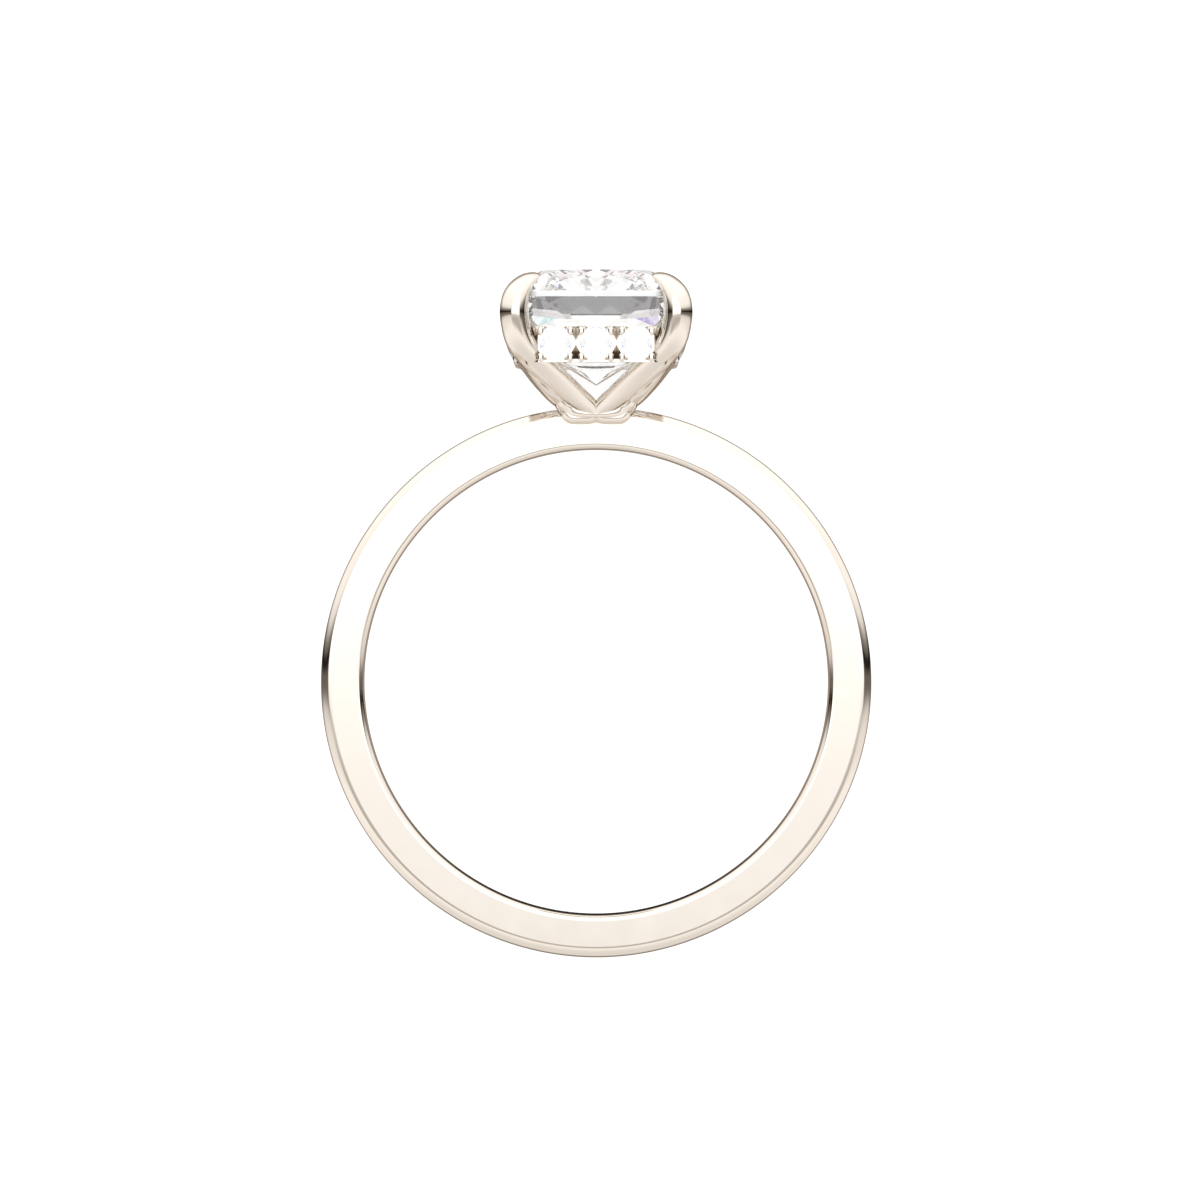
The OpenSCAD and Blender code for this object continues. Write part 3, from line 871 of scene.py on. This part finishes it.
floor_half, floor_t = 1.5, 0.002
floor = block("floor", (-floor_half, -floor_half, -floor_t), (floor_half, floor_half, 0))
floor.data.materials.clear()
floor.data.materials.append(make_acrylic())
floor.visible_glossy = floor.visible_transmission = False
print("The floor is", floor.dimensions.x, "m wide")

# %% [markdown]
# ## Light
#
# A polished ring shows the room more than itself, so the light is a room: one colour for each direction,
# measured on the ring's own axes. A table paints it, patch over patch, as one would hang cloths and boards
# round a ring. Each patch has a colour, a power, and the ranges of directions in which it fades in.
#
# For the metal it is white above and pale below. A thin dark line where the walls meet the table draws the
# line across the claws. On both sides the line is a wide dark gap, which the band's edges show. The far
# side is taupe, which gives every rounded edge a thin outline. A large soft box stands behind the camera,
# and a grey strip under it draws the line along the band's roundings.
#
# The stones get a room of their own, because they would show the metal's dark line a hundred times. It is
# white, with a dark card far behind the ring that the facets under the girdle show, and small coloured
# cards where a real diamond would split white light into colours. The table is lit by plain white.

# %% What the metal shows
# up is towards the stone, ahead is towards the viewer, across is to the right, and side is across either
# way. A range runs from the value where the patch starts to show to the value where it is full.
METAL_ROOM = [
    # The walls, from the floor upwards
    ("#E9E5E2", 1.15, []),
    ("#F4F1EE", 1.32, [("up", -1.0, -0.4)]),
    ("#E4E0DD", 1.30, [("up", -0.4, -0.2)]),
    ("#A9A5A2", 1.30, [("up", -0.2, 0.0)]),
    ("#F6F4F1", 1.35, [("up", 0.0, 0.36)]),
    ("#FFFFFF", 1.45, [("up", 0.36, 0.8)]),
    # The far side, and a darker board low on it
    ("#8A7E72", 1.35, [("ahead", -0.4, -0.88)]),
    ("#6A625A", 1.20, [("ahead", -0.3, -0.75), ("up", -0.35, -0.85)]),
    # The dark gaps on both sides
    ("#6A655F", 1.20, [("up", -0.12, -0.02), ("up", 0.22, 0.09), ("side", 0.5, 0.7)]),
    # The line of the table's edge, broken in front
    ("#1E1916", 1.30, [("up", 0.0, 0.048), ("up", 0.105, 0.062), ("ahead", 0.84, 0.7)]),
    # The grey strip, and above it the soft box, weaker at its lower edge
    ("#B8B4AE", 1.25, [("up", -0.08, -0.17), ("up", -0.42, -0.26), ("ahead", 0.7, 0.85)]),
    ("#FFFFFF", 1.20, [("ahead", 0.74, 0.88), ("up", -0.075, -0.06)]),
    ("#FFFFFF", 1.75, [("ahead", 0.74, 0.88), ("up", -0.04, 0.03)]),
]
print("The metal's room has", len(METAL_ROOM), "patches")

# %% What the stones show
GEM_ROOM = [
    ("#FFFFFF", 1.15, []),
    # The dark card, straight behind the ring, and its lower corners
    ("#4C4C52", 1.15, [("up", -0.12, -0.085), ("up", 0.06, 0.03), ("ahead", -0.955, -0.985)]),
    ("#4C4C52", 1.15, [
        ("up", -0.30, -0.27), ("up", -0.17, -0.20), ("ahead", -0.93, -0.95),
        ("side", 0.11, 0.13), ("side", 0.19, 0.17),
    ]),
    # A grey card over it
    ("#505056", 1.15, [
        ("up", 0.08, 0.12), ("up", 0.34, 0.30), ("ahead", -0.89, -0.915), ("side", 0.12, 0.17),
    ]),
    # Dusty lilac, sand, pale blue and rose higher up, which the facets over the girdle show
    ("#9C8894", 1.10, [("up", 0.82, 0.85), ("up", 0.92, 0.90), ("side", 0.38, 0.42)]),
    ("#D9C29A", 1.10, [
        ("up", 0.52, 0.56), ("up", 0.66, 0.62), ("ahead", -0.66, -0.70), ("side", 0.24, 0.28),
    ]),
    ("#C3D2F6", 1.10, [("up", 0.41, 0.44), ("up", 0.53, 0.50), ("ahead", 0.70, 0.74)]),
    ("#F1DDE1", 1.10, [("up", 0.63, 0.66), ("up", 0.75, 0.72), ("side", 0.55, 0.58)]),
    # Pale grey on both sides of the card, and blue-green and violet under it, for the corner facets
    ("#D8D5D8", 1.15, [
        ("up", -0.06, -0.04), ("up", 0.08, 0.05), ("ahead", -0.90, -0.93), ("side", 0.26, 0.28),
    ]),
    ("#A4E4EA", 1.15, [
        ("up", -0.22, -0.18), ("up", -0.05, -0.07), ("ahead", -0.90, -0.93), ("across", 0.30, 0.31),
    ]),
    ("#9D7FD8", 1.15, [
        ("up", -0.22, -0.18), ("up", -0.05, -0.07), ("ahead", -0.90, -0.93), ("across", -0.30, -0.31),
    ]),
]
print("The stones' room has", len(GEM_ROOM), "patches")


# %% Paint the rooms
def painted(tree, measures, patches):
    """One patch over the other, as a colour that is brighter than 1 where the light is strong."""
    room = None
    for hex_colour, power, ranges in patches:
        colour = [v * power for v in linear(hex_colour)[:3]] + [1]
        if room is None:
            room = colour
            continue
        share = 1.0
        for measure, start, full in ranges:
            fade = add_node(
                tree, "ShaderNodeMapRange",
                {"Value": measures[measure], "From Min": start, "From Max": full},
                interpolation_type="SMOOTHSTEP",
            )
            share = add_node(
                tree, "ShaderNodeMath", {0: fade.outputs[0], 1: share}, operation="MULTIPLY"
            ).outputs[0]
        room = add_node(
            tree, "ShaderNodeMix", {"Factor": share, "A": room, "B": colour}, data_type="RGBA"
        ).outputs["Result"]
    return room


def make_room():
    """A soft studio as a colour for each direction: one for the metal, one for the stones."""
    world = bpy.data.worlds.new("studio")
    world.use_nodes = True
    tree = world.node_tree
    tree.nodes.clear()
    way = add_node(tree, "ShaderNodeTexCoord").outputs["Generated"]
    measures = {}
    for name, axis in (("up", TO_STONE), ("ahead", -AWAY), ("across", ACROSS)):
        share = add_node(tree, "ShaderNodeVectorMath", {0: way, 1: axis}, operation="DOT_PRODUCT")
        measures[name] = share.outputs["Value"]
    measures["side"] = add_node(
        tree, "ShaderNodeMath", {0: measures["across"]}, operation="ABSOLUTE"
    ).outputs[0]
    ray = add_node(tree, "ShaderNodeLightPath").outputs
    light = add_node(tree, "ShaderNodeBackground", {"Color": linear("#FFFFFF"), "Strength": 1.0})
    for seen_by, patches in (("Is Glossy Ray", METAL_ROOM), ("Is Transmission Ray", GEM_ROOM)):
        shown = add_node(
            tree, "ShaderNodeBackground", {"Color": painted(tree, measures, patches), "Strength": 1.0}
        )
        light = add_node(
            tree, "ShaderNodeMixShader", {0: ray[seen_by], 1: light.outputs[0], 2: shown.outputs[0]}
        )
    add_node(tree, "ShaderNodeOutputWorld", {"Surface": light.outputs[0]})
    return world


scene = bpy.context.scene
scene.world = make_room()
scene.view_settings.view_transform = "Standard"
# Light crosses a diamond many times before it leaves, so its paths may be long
LONG_PATH = 40
scene.cycles.max_bounces = LONG_PATH
scene.cycles.transmission_bounces = LONG_PATH
scene.cycles.glossy_bounces = LONG_PATH
print("The rooms are painted on", scene.world.name)

# %% [markdown]
# ## Camera
#
# A ring's portrait looks straight along the finger, from far off and through a long lens, so the near and
# far edges of the band lie almost on top of each other. The camera's place is given in the ring's upright
# axes and laid down with it. It therefore sees the ring as if it stood upright, from above the table. The
# lens follows from the distance and from how wide the frame is at the ring.

# %% Camera
# Distance from the ring, height over the middle of the finger hole, shift to the right, width of the frame
camera_away, camera_up, camera_right, frame_w = 215.0, 2.91, 0.135, 42.6
lens = bpy.data.cameras.new("camera")
lens.sensor_width = 36.0
lens.lens = lens.sensor_width * camera_away / frame_w
lens.clip_start, lens.clip_end = 0.01, 10.0
camera = bpy.data.objects.new("camera", lens)
scene.collection.objects.link(camera)
camera.matrix_world = (
    Matrix.Translation(LAY @ Vector((camera_right, -camera_away, camera_up)))
    @ Matrix((ACROSS, TO_STONE, -AWAY)).transposed().to_4x4()
)
scene.camera = camera
print("The camera is", round(camera.location.z, 3), "m above the floor")
